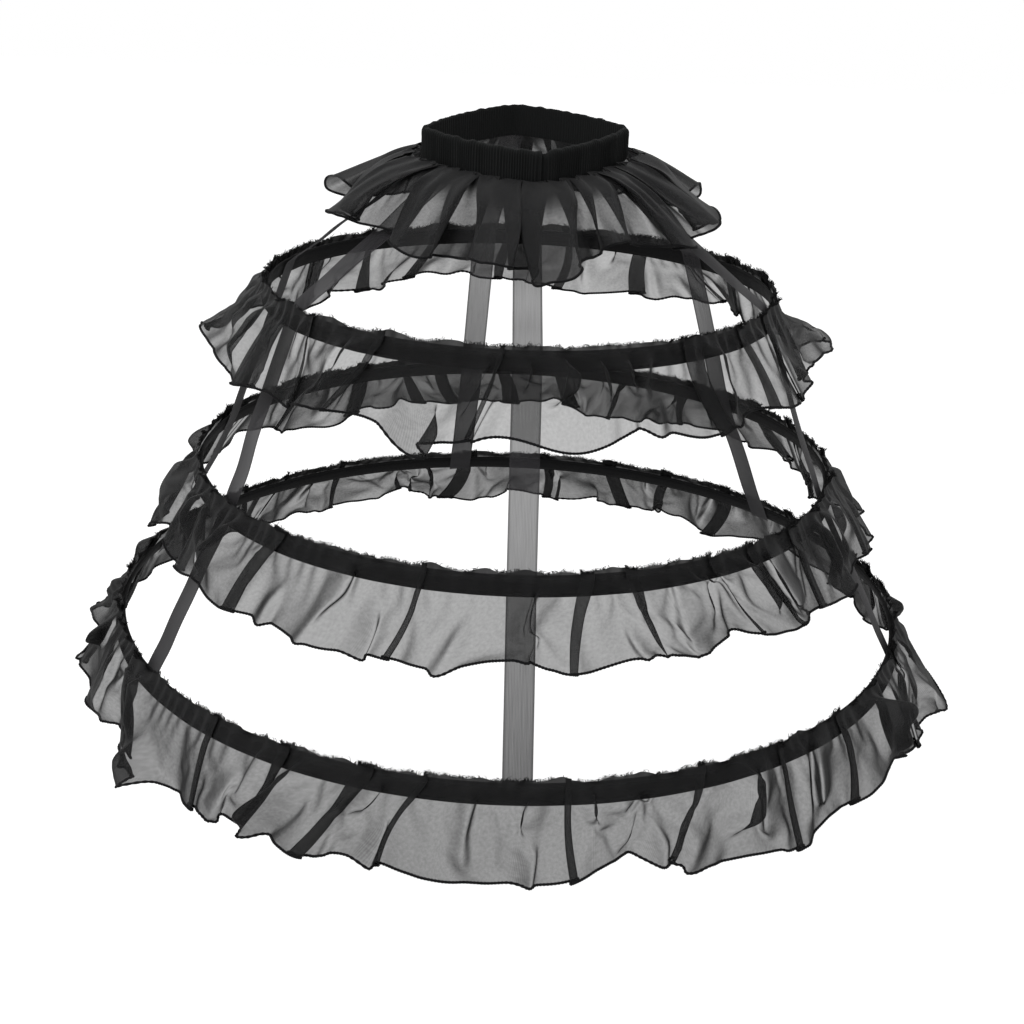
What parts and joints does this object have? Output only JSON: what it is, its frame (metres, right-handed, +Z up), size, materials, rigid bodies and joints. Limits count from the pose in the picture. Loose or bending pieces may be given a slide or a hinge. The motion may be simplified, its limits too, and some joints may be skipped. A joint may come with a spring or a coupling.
{
  "type": "crinoline cage",
  "caption": "Black hooped petticoat cage: sprung hoops in tape casings with sheer gathered ruffles, hung on ribbons from a shirred elastic waistband with a flared ruffle.",
  "frame": {"origin": "middle of the waist opening, at the upper edge of the waistband", "axes": "+Z up out of the waist opening, the wearer's front faces -Y, +X to the right as seen from the front; the cage hangs from the waist"},
  "size_m": [0.8509, 0.8513, 0.5403],
  "materials": {
    "band_cloth": "black plain-weave cloth, finely shirred on elastic, matt",
    "elastic": "black woven elastic, matt",
    "sheer_cloth": "black sheer organza, crisp, slightly glossy, see-through in a single layer",
    "ribbon": "black sheer organza ribbon with denser woven edges",
    "tape": "black cotton tape, ribbed weave, matt, with stitched edges",
    "boning": "plastic-coated flat spring boning",
    "sleeve": "thin crimped steel sleeve"
  },
  "bodies": {
    "root": {"waistband_casing": "band_cloth", "waist_elastic": "elastic", "waist_ruffle": "sheer_cloth", "top_hoop_bone": "boning", "top_hoop_sleeve": "sleeve", "top_hoop_casing": "tape", "top_hoop_ruffle": "sheer_cloth", "middle_hoop_bone": "boning", "middle_hoop_sleeve": "sleeve", "middle_hoop_casing": "tape", "middle_hoop_ruffle": "sheer_cloth", "bottom_hoop_bone": "boning", "bottom_hoop_sleeve": "sleeve", "bottom_hoop_casing": "tape", "bottom_hoop_ruffle": "sheer_cloth", "ribbon_front": "ribbon", "ribbon_front_right": "ribbon", "ribbon_back_right": "ribbon", "ribbon_back": "ribbon", "ribbon_back_left": "ribbon", "ribbon_front_left": "ribbon"}
  },
  "joints": []
}
